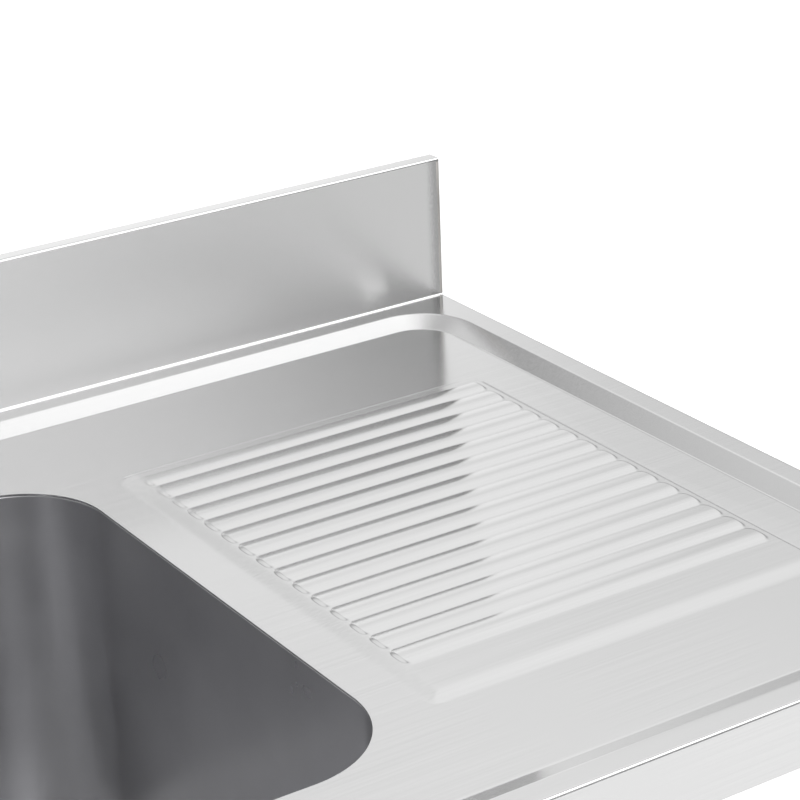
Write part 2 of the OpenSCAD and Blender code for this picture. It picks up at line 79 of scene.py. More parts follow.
# Places of the pressed worktop, in metres, as the frame's solids have them
TOP_LOW, TOP_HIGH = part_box("worktop")
RIM_W = 16 * MM
SLOPE_W = 15 * MM
RIM_LEVEL = 850 * MM
FLOOR_LEVEL = 844.5 * MM
FLOOR_RADIUS = 28 * MM
LIP_W = 12 * MM
TAP = (-155 * MM, 220.5 * MM)
TAP_RADIUS = 17.5 * MM
# The fine line that the press tool leaves at the foot of the slope: (how far from it, how deep)
FOOT_LINE = ((0.3 * MM, 0.1 * MM), (0.6 * MM, 0.14 * MM), (0.9 * MM, 0.1 * MM), (1.3 * MM, 0), (1.8 * MM, 0))

# The drainer panel: its box, the ramps towards the bowl and the front, the border towards the rim and the wall
PANEL = (120 * MM, -189 * MM, 387.4 * MM, 158.4 * MM)
PANEL_RISE = 1.3 * MM
PANEL_RADIUS = 13 * MM
RAMP_W = 16 * MM
BORDER_W = 2 * MM
BORDER_STRIP = 10 * MM
BORDER_FALL = 0.15 * MM
PRESS_LINE = 0.22 * MM
PRESS_LINE_W = 0.7 * MM

# The ribs: where they start and end along x, how fast they rise there and how round their tips are
RIB_COUNT = 15
RIB_PITCH = 19.8 * MM
RIB_HEIGHT = 1.3 * MM
RIB_X = (133.5 * MM, 381 * MM)
RIB_RUNOUT = 2 * MM
RIB_BACK_W = 2 * MM
RIB_TIP = 3.5 * MM
RIB_TIP_POWER = 4
FIRST_RIB_Y = 141.6 * MM

# Shares of a rise that are rounded
RAMP_ROUND = 0.3
BORDER_ROUND = 0.25
STRIP_ROUND = 0.1
RIB_START_ROUND = 0.25
RIB_END_ROUND = 0.2
RIB_BACK_ROUND = 0.3

BOWL = (-405 * MM, -216 * MM, 95 * MM, 184 * MM)
BOWL_RADIUS = 60 * MM
BOWL_BOTTOM = 594.5 * MM
BOWL_FILLET = 25 * MM
BOWL_FLANGE = 9 * MM
BOWL_LIP = 1 * MM
BOWL_SHEET = 1 * MM
OUTLET = (-315 * MM, 94 * MM)
OUTLET_RADIUS = 25.4 * MM
# Width of the narrow flat band round each hole
HOLE_BAND = 1.5 * MM

# The folded backsplash, which reaches as far as its end on both sides, and the seam and welds along it
SPLASH_FACE = 288 * MM
SPLASH_TOP = 950 * MM
SPLASH_BACK = 300 * MM
SPLASH_LIP = 10 * MM
SPLASH_END = 450 * MM
SEAM_RADIUS = 1.2 * MM
WELD_RIPPLE = 1.8 * MM
WELD_W = 2.2 * MM
WELD_H = 0.45 * MM

# The levelling stud. The button, which the pad holds, is (bottom, top, radius)
STUD_RADIUS = 5 * MM
BUTTON = (5.3 * MM, 10.7 * MM, 6.2 * MM)
NECK_RADIUS = 4 * MM
HEXAGON_LEVEL = 15.2 * MM
HEXAGON_H = 6 * MM
HEXAGON_RADIUS = 9.5 * MM
THREAD_PITCH = 1.5 * MM
THREAD_DEPTH = 0.8 * MM

# Sizes of the patterns in the materials
SHEET_WAVE = 90 * MM
SHEET_WAVE_DEPTH = 0.05 * MM
STAIN_SIZE = 60 * MM
SCUFF_SIZE = 15 * MM
# A noise spends nearly all of its range between these values
NOISE_LOW, NOISE_HIGH = 0.3, 0.7
# The band ground back beside an end weld: how ragged and how soft it is, how much of the colour is left, and
# the size of the grinder's marks along x, y and z
GROUND_RAGGED = 8 * MM
GROUND_EDGE = 1 * MM
GROUND_TINT = 0.62
GROUND_MARKS = (1.1 * MM, 1 * MM, 2.2 * MM)

# Half the width of the studio floor in metres, and how much its white is lifted
FLOOR_HALF = 30
FLOOR_GLOW = 0.36


def linear(hex_colour):
    """An sRGB hex colour as the linear colour that Blender's sockets take."""
    parts = [int(hex_colour[i:i + 2], 16) / 255 for i in (1, 3, 5)]
    return tuple(c / 12.92 if c <= 0.04045 else ((c + 0.055) / 1.055) ** 2.4 for c in parts)


def node(tree, kind, settings=None, **links):
    """Adds a node: settings go on its properties, links on its sockets, as a value or another node's output."""
    made = tree.nodes.new(kind)
    for name, value in (settings or {}).items():
        setattr(made, name, value)
    for key, value in links.items():
        name = key.replace("_", " ")
        socket = made.inputs[int(key[1:])] if key[0] == "i" and key[1:].isdigit() else made.inputs[name]
        if isinstance(value, bpy.types.NodeSocket):
            tree.links.new(value, socket)
        else:
            socket.default_value = value
    return made


# Settings


class SINK_PG_sheet(bpy.types.PropertyGroup):
    """Sizes of the folded sheet that show as soft edges"""
    bend: FloatProperty(name="Bend radius", description="Outside radius of the folds",
                        default=2.0 * MM, unit="LENGTH", precision=5)
    shoulder: FloatProperty(name="Shoulder radius", description="Radius where the rim turns into the slope",
                            default=5.0 * MM, unit="LENGTH", precision=5)
    press: FloatProperty(name="Press radius", description="Radius at the foot of the pressed slope",
                         default=0.8 * MM, unit="LENGTH", precision=5)
    edge: FloatProperty(name="Cut edge", description="Rounding of the cut edges of the sheet",
                        default=0.35 * MM, unit="LENGTH", precision=5)
    valley: FloatProperty(name="Valley", description="Softness of the valleys between the ribs",
                          default=0.08 * MM, unit="LENGTH", precision=5)


class SINK_PG_finish(bpy.types.PropertyGroup):
    """Colours of the finishes"""
    top: FloatVectorProperty(name="Worktop", description="Colour of the brushed worktop sheet", size=3,
                             subtype="COLOR", default=linear("#D1D1D1"), min=0, max=1)
    # The backsplash grey is darker than the worktop's as painted shade for the dimmer light it mirrors; it is the
    # same sheet
    splash: FloatVectorProperty(name="Backsplash", description="Colour of the dull brushed backsplash", size=3,
                                subtype="COLOR", default=linear("#B8B8B8"), min=0, max=1)
    bowl: FloatVectorProperty(name="Bowl", description="Colour of the drawn bowl", size=3,
                              subtype="COLOR", default=linear("#C8C8CA"), min=0, max=1)
    tube: FloatVectorProperty(name="Legs", description="Colour of the ground tubes", size=3,
                              subtype="COLOR", default=linear("#CDCDCE"), min=0, max=1)
    mill: FloatVectorProperty(name="Frame", description="Colour of the unpolished brackets", size=3,
                              subtype="COLOR", default=linear("#B4B4B3"), min=0, max=1)
    plastic: FloatVectorProperty(name="Plastic", description="Colour of the feet and leg inserts", size=3,
                                 subtype="COLOR", default=linear("#1E1E20"), min=0, max=1)


class SINK_PG_studio(bpy.types.PropertyGroup):
    """Camera and light levels"""
    lens: FloatProperty(name="Lens", description="Focal length on a 36 mm sensor", default=117.7585)
    yaw: FloatProperty(name="Turn", description="How far the camera looks to the right of the wall side",
                       default=math.radians(32.37237), subtype="ANGLE")
    pitch: FloatProperty(name="Tilt", description="How far the camera looks down",
                         default=math.radians(22.80151), subtype="ANGLE")
    roll: FloatProperty(name="Roll", description="Turn of the picture", default=math.radians(-2.19721),
                        subtype="ANGLE")
    place: FloatVectorProperty(name="Place", description="Where the camera stands", size=3, unit="LENGTH",
                               default=(-0.50417, -1.15546, 1.49699))
    room: FloatProperty(name="Room", description="Level of the white room away from its lights",
                        default=0.5, min=0)
    # Azimuth from the wall side towards the drainer end, elevation, where it fades in and out, all in degrees
    backdrop: FloatVectorProperty(name="Backdrop", description="The white backdrop behind the drainer end", size=4,
                                  default=(47, 41, 10, 34))
    horizon: FloatVectorProperty(name="Horizon", description="Low light behind the backsplash, with its level",
                                 size=5, default=(21, 12, 8, 21.5, 0.75))
    front: FloatVectorProperty(name="Front box", description="Soft box in front of the bowl, with its level",
                               size=5, default=(180, 25, 26.5, 30.3, 1.66))
    overhead: FloatVectorProperty(name="Overhead box", size=5, default=(128, 54, 11, 24, 3.15),
                                  description="Soft box above the drainer end, with its level")
    flag: FloatVectorProperty(name="Flag", description="Dark card low in front, which takes light away",
                              size=5, default=(153, 0, 6, 18, -0.3))
    card: FloatVectorProperty(name="Card", description="Dark card low at the wall side, which takes light away",
                              size=5, default=(9, 36, 2, 9, -0.35))
    side: FloatVectorProperty(name="Side box", description="Soft box high at the bowl side, with its level",
                              size=5, default=(-38, 50, 20, 34.5, 0.62))
    window: FloatVectorProperty(name="Window", size=5, default=(36, 50, 12, 28, 0.2),
                                description="Soft box in the middle of the backdrop, with its level")


# Mesh helpers


def outline(bm, box, radius, z, segments):
    """A rounded rectangle of edges at height z: a quad whose four corners are bevelled."""
    x0, y0, x1, y1 = box
    corners = bmesh.ops.create_grid(bm, x_segments=1, y_segments=1, size=0.5)["verts"]
    for v in corners:
        v.co = (x0 if v.co.x < 0 else x1, y0 if v.co.y < 0 else y1, z)
    made = bmesh.ops.bevel(bm, geom=corners, offset=radius, offset_type="OFFSET", segments=segments,
                           profile=0.5, affect="VERTICES", material=-1, clamp_overlap=False)
    face = next(f for f in made["verts"][0].link_faces)
    edges = list(face.edges)
    bmesh.ops.delete(bm, geom=[face], context="FACES_ONLY")
    return edges


def ring(bm, centre, radius, z, segments):
    """A circle of edges at height z."""
    made = bmesh.ops.create_circle(bm, segments=segments, radius=radius,
                                   matrix=Matrix.Translation((centre[0], centre[1], z)))
    return list({e for v in made["verts"] for e in v.link_edges})


def stack(bm, kind, shapes, heights, segments):
    """Skins a row of outlines or rings. They are joined far apart, where the bridge can tell them from one
    another, and then each one goes to its own height."""
    apart = 0.1
    loops = [kind(bm, *shape, -i * apart, segments) for i, shape in enumerate(shapes)]
    for a, b in zip(loops, loops[1:]):
        bmesh.ops.bridge_loops(bm, edges=a + b)
    for i, (loop, z) in enumerate(zip(loops, heights)):
        bmesh.ops.translate(bm, verts=list({v for e in loop for v in e.verts}), vec=(0, 0, z + i * apart))
    return loops


def inset_box(box, inset):
    """A box whose four sides are moved inwards."""
    return (box[0] + inset, box[1] + inset, box[2] - inset, box[3] - inset)


def arc(radius, start, end, steps):
    """Offsets (across, up) along a circle of that radius, from start to end degrees."""
    angles = [math.radians(start + (end - start) * i / steps) for i in range(steps + 1)]
    return [(radius * math.cos(a), radius * math.sin(a)) for a in angles]


def fill_flat(bm, edges):
    """A flat sheet with holes, between outlines."""
    bmesh.ops.triangle_fill(bm, use_beauty=True, use_dissolve=False, edges=edges, normal=(0, 0, 1))


def face_up(bm):
    """Turns all the faces the same way, with the largest level one looking up."""
    bmesh.ops.recalc_face_normals(bm, faces=bm.faces)
    level = max((f for f in bm.faces if abs(f.normal.z) > 0.9), key=lambda f: f.calc_area())
    if level.normal.z < 0:
        bmesh.ops.reverse_faces(bm, faces=bm.faces)


def pull(bm, made, distance):
    """Moves the new vertices of an extrusion along the table."""
    bmesh.ops.translate(bm, verts=[g for g in made["geom"] if isinstance(g, bmesh.types.BMVert)],
                        vec=(distance, 0, 0))


def make_piece(bm, name, material, body="table", replaces=()):
    """Turns a bmesh into a smooth-shaded piece that rides a body."""
    mesh = bpy.data.meshes.new(name)
    bm.to_mesh(mesh)
    bm.free()
    mesh.shade_smooth()
    piece = bpy.data.objects.new(name, mesh)
    bpy.context.scene.collection.objects.link(piece)
    piece.data.materials.append(material)
    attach(piece, body)
    if replaces:
        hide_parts(*replaces)
    return piece


def thicken(piece, thickness):
    """Gives a sheet its thickness, behind its visible side."""
    made = piece.modifiers.new("Sheet", "SOLIDIFY")
    made.thickness = thickness
    made.offset = -1
    made.use_quality_normals = True


def soften(piece, width, segments=2, angle=40):
    """Rounds the sharp edges and lets the flats keep their own shading."""
    made = piece.modifiers.new("Edges", "BEVEL")
    made.width = width
    made.segments = segments
    made.limit_method = "ANGLE"
    made.angle_limit = math.radians(angle)
    made.use_clamp_overlap = True
    weigh = piece.modifiers.new("Shading", "WEIGHTED_NORMAL")
    weigh.keep_sharp = False
    weigh.weight = 80


def from_node(source, name, material, width, segments=2):
    """A merged copy of a CAD node whose sharp edges are rounded."""
    bm = bmesh.new()
    bm.from_mesh(frame["nodes"][source].data)
    bmesh.ops.remove_doubles(bm, verts=bm.verts, dist=0.002 * MM)
    bmesh.ops.dissolve_limit(bm, angle_limit=math.radians(0.5), verts=bm.verts, edges=bm.edges,
                             use_dissolve_boundaries=False)
    body = frame["nodes"][source]["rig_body"]
    piece = make_piece(bm, name, material, body, (source,))
    soften(piece, width, segments)


# Materials. Streaks, grains and depths are in real mm


def empty_tree(owner):
    """The cleared node tree of a new material or world."""
    owner.use_nodes = True
    owner.node_tree.nodes.clear()
    return owner.node_tree


def brushed_steel(name, colour, grain, roughness, anisotropy, streak=(160, 0.5), depth=0.006,
                  mottle=0.04, uneven=0.04, ends=None):
    """Stainless sheet brushed along one axis. The grain spreads reflections across it and keeps them crisp
    along it; fine streaks break up the gloss, and slow waves in the sheet bend what it mirrors. A streak is
    (length, width), and ends is how far out the sheet was ground back at its end welds."""
    made = bpy.data.materials.new(name)
    tree = empty_tree(made)
    place = node(tree, "ShaderNodeTexCoord").outputs["Object"]
    length, width = (1 / (s * MM) for s in streak)
    along = tuple(length if axis == grain else width for axis in "XYZ")
    streaks = node(tree, "ShaderNodeTexNoise", Vector=node(
        tree, "ShaderNodeMapping", Vector=place, Scale=along).outputs["Vector"],
        Scale=1.0, Detail=3.0, Roughness=0.6).outputs["Fac"]
    slow = node(tree, "ShaderNodeTexNoise", Vector=place, Scale=1 / SHEET_WAVE, Detail=1.0).outputs["Fac"]
    rough = node(tree, "ShaderNodeMapRange", Value=streaks, From_Min=NOISE_LOW, From_Max=NOISE_HIGH,
                 To_Min=roughness - uneven, To_Max=roughness + uneven).outputs["Result"]
    tint = node(tree, "ShaderNodeMapRange", Value=streaks, From_Min=NOISE_LOW, From_Max=NOISE_HIGH,
                To_Min=1 - mottle, To_Max=1 + mottle).outputs["Result"]
    if ends:
        tint = node(tree, "ShaderNodeMath", {"operation": "MULTIPLY"}, i0=tint,
                    i1=ground_ends(tree, place, ends)).outputs[0]
    shade = node(tree, "ShaderNodeVectorMath", {"operation": "SCALE"}, Vector=tuple(colour),
                 Scale=tint).outputs["Vector"]
    wavy = node(tree, "ShaderNodeBump", Strength=1.0, Distance=SHEET_WAVE_DEPTH, Height=slow).outputs["Normal"]
    normal = node(tree, "ShaderNodeBump", Strength=1.0, Distance=depth * MM, Height=streaks,
                  Normal=wavy).outputs["Normal"]
    facing = node(tree, "ShaderNodeNewGeometry").outputs["Normal"]
    axis = {"X": (1, 0, 0), "Y": (0, 1, 0), "Z": (0, 0, 1)}[grain]
    across = node(tree, "ShaderNodeVectorMath", {"operation": "CROSS_PRODUCT"}, i0=facing,
                  i1=axis).outputs["Vector"]
    shader = node(tree, "ShaderNodeBsdfPrincipled", Base_Color=shade, Metallic=1.0, Roughness=rough,
                  Anisotropic=anisotropy, Normal=normal, Tangent=across)
    node(tree, "ShaderNodeOutputMaterial", Surface=shader.outputs["BSDF"])
    return made


def ground_ends(tree, place, end):
    """How much of the colour is left where the end welds were ground back: a band with a ragged edge and
    marks that run up and down."""
    split = node(tree, "ShaderNodeSeparateXYZ", Vector=place).outputs
    away = node(tree, "ShaderNodeMath", {"operation": "ABSOLUTE"}, i0=split["X"]).outputs[0]
    marks = node(tree, "ShaderNodeTexNoise", Vector=node(
        tree, "ShaderNodeMapping", Vector=place, Scale=tuple(1 / size for size in GROUND_MARKS)).outputs["Vector"],
        Scale=1.0, Detail=2.0).outputs["Fac"]
    ragged = node(tree, "ShaderNodeMath", {"operation": "MULTIPLY_ADD"}, i0=marks, i1=GROUND_RAGGED,
                  i2=away).outputs[0]
    return node(tree, "ShaderNodeMapRange", {"interpolation_type": "SMOOTHSTEP"}, Value=ragged,
                From_Min=end - GROUND_RAGGED, From_Max=end + GROUND_EDGE,
                To_Min=1.0, To_Max=GROUND_TINT).outputs["Result"]


def satin_steel(name, colour, roughness, grit=0.8, depth=0.003, mottle=0.05, uneven=0.06):
    """Drawn, milled or tumbled stainless: no grain direction, a fine even tooth and faint cloudy stains."""
    made = bpy.data.materials.new(name)
    tree = empty_tree(made)
    place = node(tree, "ShaderNodeTexCoord").outputs["Object"]
    tooth = node(tree, "ShaderNodeTexNoise", Vector=place, Scale=1 / (grit * MM), Detail=3.0).outputs["Fac"]
    cloud = node(tree, "ShaderNodeTexNoise", Vector=place, Scale=1 / STAIN_SIZE, Detail=3.0).outputs["Fac"]
    rough = node(tree, "ShaderNodeMapRange", Value=cloud, From_Min=NOISE_LOW, From_Max=NOISE_HIGH,
                 To_Min=roughness - uneven, To_Max=roughness + uneven).outputs["Result"]
    tint = node(tree, "ShaderNodeMapRange", Value=cloud, From_Min=NOISE_LOW, From_Max=NOISE_HIGH,
                To_Min=1 - mottle, To_Max=1 + mottle).outputs["Result"]
    shade = node(tree, "ShaderNodeVectorMath", {"operation": "SCALE"}, Vector=tuple(colour),
                 Scale=tint).outputs["Vector"]
    normal = node(tree, "ShaderNodeBump", Strength=1.0, Distance=depth * MM, Height=tooth).outputs["Normal"]
    shader = node(tree, "ShaderNodeBsdfPrincipled", Base_Color=shade, Metallic=1.0, Roughness=rough,
                  Normal=normal)
    node(tree, "ShaderNodeOutputMaterial", Surface=shader.outputs["BSDF"])
    return made


def moulded(name, colour, roughness, grain, depth, mottle, uneven=0.08):
    """Moulded plastic, rubber or pressed bitumen: a fine pebbled skin, a little worn and dusty."""
    made = bpy.data.materials.new(name)
    tree = empty_tree(made)
    place = node(tree, "ShaderNodeTexCoord").outputs["Object"]
    pebble = node(tree, "ShaderNodeTexVoronoi", {"feature": "SMOOTH_F1"}, Vector=place,
                  Scale=1 / (grain * MM)).outputs["Distance"]
    cloud = node(tree, "ShaderNodeTexNoise", Vector=place, Scale=1 / SCUFF_SIZE, Detail=4.0).outputs["Fac"]
    rough = node(tree, "ShaderNodeMapRange", Value=cloud, From_Min=NOISE_LOW, From_Max=NOISE_HIGH,
                 To_Min=roughness - uneven, To_Max=roughness + uneven).outputs["Result"]
    tint = node(tree, "ShaderNodeMapRange", Value=cloud, From_Min=0.25, From_Max=0.75,
                To_Min=1 - mottle, To_Max=1 + mottle).outputs["Result"]
    shade = node(tree, "ShaderNodeVectorMath", {"operation": "SCALE"}, Vector=tuple(colour),
                 Scale=tint).outputs["Vector"]
    normal = node(tree, "ShaderNodeBump", Strength=0.6, Distance=depth * MM, Height=pebble).outputs["Normal"]
    shader = node(tree, "ShaderNodeBsdfPrincipled", Base_Color=shade, Roughness=rough, Normal=normal)
    node(tree, "ShaderNodeOutputMaterial", Surface=shader.outputs["BSDF"])
    return made


def finish(name):
    """A finish by its short name, made once."""
    colours = bpy.context.scene.sink_finish
    made = bpy.data.materials.get(FINISHES[name][0])
    return made or FINISHES[name][1](FINISHES[name][0], colours)


def paint(source, name):
    """Gives a carried-over CAD node its finish."""
    piece = frame["nodes"][source]
    piece.data.materials.clear()
    piece.data.materials.append(finish(name))


FINISHES = {
    # Worktop: long grain along the table, crisp side to side and a little blurred front to back
    "top": ("stainless sheet brushed lengthways",
            lambda name, c: brushed_steel(name, c.top, "X", roughness=0.16, anisotropy=0.7)),
    # Backsplash: the same sheet brushed harder, so that it mirrors only broad light and dark, with a darker
    # ragged band along each ground end. Its grey is set darker than the worktop's as painted shade, for the dimmer
    # light it mirrors
    "splash": ("stainless sheet brushed dull lengthways",
               lambda name, c: brushed_steel(name, c.splash, "X", roughness=0.26, anisotropy=0.8, depth=0.0012,
                                             mottle=0.01, uneven=0.012, ends=SPLASH_END)),
    # Bowl: drawn, then scoured dull, so it mirrors only as soft light and dark
    "bowl": ("stainless steel deep drawn satin", lambda name, c: satin_steel(name, c.bowl, roughness=0.33)),
    # Legs: ground along the tube, so that each shows a soft bright stripe with fine scratches in it
    "tube": ("stainless tube ground lengthways",
             lambda name, c: brushed_steel(name, c.tube, "Z", roughness=0.3, anisotropy=0.6, streak=(60, 0.5))),
    # Shelf: brushed along the table and duller than the worktop, so it shows grain but no clear mirror image
    "shelf": ("stainless shelf sheet brushed lengthways",
              lambda name, c: brushed_steel(name, c.tube, "X", roughness=0.32, anisotropy=0.7)),
    # Brackets and channels: left as they came from the mill, plain grey with cloudy stains
    "mill": ("stainless plate with mill finish",
             lambda name, c: satin_steel(name, c.mill, roughness=0.42, grit=1.2, depth=0.02, mottle=0.1)),
    # Weld beads: small ripples, a little darker with heat
    "weld": ("stainless weld bead scaled by heat",
             lambda name, c: satin_steel(name, linear("#A3A19E"), roughness=0.36, grit=2.0, depth=0.1,
                                         mottle=0.25)),
    # Waste and standpipe: turned and polished, with small bright highlights
    "polish": ("stainless steel turned and polished",
               lambda name, c: satin_steel(name, linear("#DADADB"), roughness=0.13, grit=0.5, depth=0.002,
                                           mottle=0.02)),
    # Screws, nuts and studs: a faintly warm grey with a fine tooth
    "zinc": ("steel fastener zinc plated",
             lambda name, c: satin_steel(name, linear("#BDBDB8"), roughness=0.3, grit=0.6, depth=0.02,
                                         mottle=0.08)),
    # Feet and leg inserts: nearly black, with a fine pebbled skin that breaks up the highlights
    "plastic": ("polyamide moulded",
                lambda name, c: moulded(name, c.plastic, roughness=0.48, grain=0.6, depth=0.03, mottle=0.15)),
    # Seals: black and duller than the plastic, with a finer skin
    "rubber": ("nitrile rubber moulded",
               lambda name, c: moulded(name, linear("#19191A"), roughness=0.6, grain=0.4, depth=0.02, mottle=0.1)),
    # Sound pads: a dull brownish black with coarse dimples
    "bitumen": ("bitumen sheet pressed",
                lambda name, c: moulded(name, linear("#34322F"), roughness=0.8, grain=2.2, depth=0.25,
                                        mottle=0.3)),
}


# Worktop


def crisp(t, round_share):
    """A straight ramp from 0 to 1 whose two ends are rounded over a share of its length."""
    t = max(0.0, min(1.0, t))
    r = round_share
    slope = 1 / (1 - r)
    if t < r:
        return slope * t * t / (2 * r)
    if t > 1 - r:
        return 1 - slope * (1 - t) * (1 - t) / (2 * r)
    return slope * (t - r / 2)


def panel_height(x, y, valley):
    """Height of the pressed drainer panel over the floor of the worktop."""
    x0, y0, x1, y1 = PANEL
    # Long soft ramps towards the bowl and the front, a short crisp border towards the rim and the wall
    ramp = min(x - x0, y - y0) / RAMP_W
    border = min(x1 - x, y1 - y)
    cx, cy = min(x - x0, x1 - x), min(y - y0, y1 - y)
    if cx < PANEL_RADIUS and cy < PANEL_RADIUS:
        border = min(border, PANEL_RADIUS - math.hypot(PANEL_RADIUS - cx, PANEL_RADIUS - cy))
    groove = 2 * PRESS_LINE_W
    height = PANEL_RISE * min(crisp(ramp, RAMP_ROUND), crisp((border - groove) / BORDER_W, BORDER_ROUND))
    # A narrow strip inside the border falls a little towards the ribs
    strip = crisp((y1 - y - groove - BORDER_W) / (BORDER_STRIP - groove - BORDER_W), STRIP_ROUND)
    height -= BORDER_FALL * strip * crisp(ramp, STRIP_ROUND)
    # The press leaves a fine line where the border meets the floor
    height -= PRESS_LINE * max(0.0, 1 - abs(border / PRESS_LINE_W - 1)) * min(1.0, max(0.0, 2 * ramp))
    # Ribs are shallow cylinder segments that end short and round, like fingertips
    half = RIB_PITCH / 2
    radius = (half ** 2 + RIB_HEIGHT ** 2) / (2 * RIB_HEIGHT)
    index = round((FIRST_RIB_Y - y) / RIB_PITCH)
    if 0 <= index < RIB_COUNT:
        dy = y - (FIRST_RIB_Y - index * RIB_PITCH)
        tip = RIB_TIP * (dy / half) ** RIB_TIP_POWER
        full = (crisp((x - RIB_X[0] - tip) / RIB_RUNOUT, RIB_START_ROUND)
                * crisp((RIB_X[1] - x - tip) / RIB_RUNOUT, RIB_END_ROUND))
        # The strip cuts off the back of the first rib
        full *= crisp((y1 - y - BORDER_STRIP) / RIB_BACK_W, RIB_BACK_ROUND)
        bump = math.sqrt(radius ** 2 - dy ** 2) - (radius - RIB_HEIGHT)
        # The valleys are soft where two ribs meet the panel
        height += full * (bump + math.sqrt(bump * bump + valley * valley)) / 2
    return height


def spread(stops):
    """Positions that run through (place, step) stops, each stretch cut into equal steps."""
    places = [stops[0][0]]
    for (a, step), (b, _) in zip(stops, stops[1:]):
        count = max(1, round((b - a) / step))
        places += [a + (b - a) * (i + 1) / count for i in range(count)]
    return places


def pressed_panel(bm, valley):
    """The drainer panel: a grid with close lines over the rib ends and borders, lifted to its height."""
    x0, y0, x1, y1 = PANEL
    line, fine, medium, coarse = 0.4 * MM, 0.8 * MM, 1.2 * MM, 22 * MM
    # Where the steps change: past the foot of a ramp, before a rib's start, inside its two tips, beside them
    toe, lead, tips, settled, back = 3 * MM, 1 * MM, (6 * MM, 5 * MM), 11 * MM, 2 * MM
    last = FIRST_RIB_Y - (RIB_COUNT - 0.5) * RIB_PITCH
    xs = spread([(x0, line), (x0 + toe, medium), (RIB_X[0] - lead, line), (RIB_X[0] + tips[0], fine),
                 (RIB_X[0] + settled, coarse), (RIB_X[1] - settled, fine), (RIB_X[1] - tips[1], line),
                 (x1, line)])
    ys = spread([(y0, line), (y0 + toe, medium), (last, RIB_PITCH / 20), (FIRST_RIB_Y + back, line), (y1, line)])
    made = bmesh.ops.create_grid(bm, x_segments=len(xs) - 1, y_segments=len(ys) - 1, size=1)["verts"]
    for v in made:
        i = round((v.co.x + 1) / 2 * (len(xs) - 1))
        j = round((v.co.y + 1) / 2 * (len(ys) - 1))
        x, y = xs[i], ys[j]
        border = i in (0, len(xs) - 1) or j in (0, len(ys) - 1)
        v.co = (x, y, FLOOR_LEVEL + (0 if border else panel_height(x, y, valley)))
    return [e for e in {e for v in made for e in v.link_edges} if e.is_boundary]


class SINK_OT_worktop(bpy.types.Operator):
    """The pressed and folded worktop with its ribbed drainer"""
    bl_idname = "sink.worktop"
    bl_label = "Worktop"

    def execute(self, context):
        sizes = context.scene.sink_sheet
        bm = bmesh.new()
        box = (TOP_LOW.x, TOP_LOW.y, TOP_HIGH.x, TOP_HIGH.y)
        low = TOP_LOW.z
        bend = sizes.bend
        # Beside each fold the sheet stays straight for a moment; point is the radius of a nearly sharp corner
        straight, point, steps = 0.4 * MM, 0.5 * MM, 5
        corner = bend + point
        # (inset, height, corner radius) from the lip's inner edge, round the two folds, to the rim
        path = [(LIP_W, low, point), (bend + straight, low, point)]
        path += [(bend + c, low + bend + s, corner - bend - c) for c, s in arc(bend, 270, 180, steps)]
        path += [(0, low + bend + straight, corner), (0, RIM_LEVEL - bend - straight, corner)]
        path += [(bend + c, RIM_LEVEL - bend + s, corner - bend - c) for c, s in arc(bend, 180, 90, steps)]
        path += [(bend + point, RIM_LEVEL, point)]
        # The slope: a convex bend at the rim and a concave one at the floor
        drop = RIM_LEVEL - FLOOR_LEVEL
        tilt = math.atan2(drop, SLOPE_W)
        soft, tight = sizes.shoulder, sizes.press
        soft_steps, tight_steps = 4, 3
        start = RIM_W - math.tan(tilt / 2) * soft
        end = RIM_W + SLOPE_W + math.tan(tilt / 2) * tight
        plan = FLOOR_RADIUS + SLOPE_W + RIM_W
        before = start - 0.6 * MM
        path += [(before, RIM_LEVEL, plan - before)]
        for a in [tilt * i / soft_steps for i in range(soft_steps + 1)]:
            inset = start + soft * math.sin(a)
            path += [(inset, RIM_LEVEL - soft * (1 - math.cos(a)), plan - inset)]
        for a in [tilt * (tight_steps - i) / tight_steps for i in range(tight_steps + 1)]:
            inset = end - tight * math.sin(a)
            path += [(inset, FLOOR_LEVEL + tight * (1 - math.cos(a)), plan - inset)]
        path += [(end + away, FLOOR_LEVEL - deep, plan - end - away) for away, deep in FOOT_LINE]
        sharpest = 0.3 * MM
        loops = stack(bm, outline, [(inset_box(box, i), max(r, sharpest)) for i, z, r in path],
                      [z for i, z, r in path], segments=16)
        # The holes of the bowl and the tap, each with its flat band
        level, bands = [FLOOR_LEVEL] * 2, (0, HOLE_BAND)
        hole = stack(bm, outline, [(inset_box(BOWL, -w), BOWL_RADIUS + w) for w in bands], level, segments=24)
        tap = stack(bm, ring, [(TAP, TAP_RADIUS + w) for w in bands], level, segments=48)
        fill_flat(bm, loops[-1] + hole[-1] + tap[-1] + pressed_panel(bm, sizes.valley))
        bmesh.ops.remove_doubles(bm, verts=bm.verts, dist=0.001 * MM)
        face_up(bm)
        piece = make_piece(bm, "worktop_sheet", finish("top"), replaces=("worktop",))
        thicken(piece, SHEET)
        soften(piece, sizes.edge, angle=50)
        return {"FINISHED"}


# Backsplash


def backsplash_foot(x0, x1):
    """A fillet where the face rises from the rim, ground smooth along its whole length."""
    r, inset, sunk, buried = SEAM_RADIUS, 0.2 * MM, 0.05 * MM, 0.3 * MM
    bm = bmesh.new()
    profile = [(SPLASH_FACE - r + c, RIM_LEVEL + r + s - sunk) for c, s in arc(r, 270, 360, 6)]
    profile += [(SPLASH_FACE + buried, RIM_LEVEL + r), (SPLASH_FACE + buried, RIM_LEVEL - r),
                (SPLASH_FACE - r, RIM_LEVEL - buried)]
    face = bm.faces.new([bm.verts.new((x0 + inset, y, z)) for y, z in profile])
    pull(bm, bmesh.ops.extrude_face_region(bm, geom=[face]), x1 - x0 - 2 * inset)
    bmesh.ops.recalc_face_normals(bm, faces=bm.faces)
    seam = make_piece(bm, "backsplash_foot", finish("top"))
    soften(seam, 0.1 * MM, segments=1, angle=50)


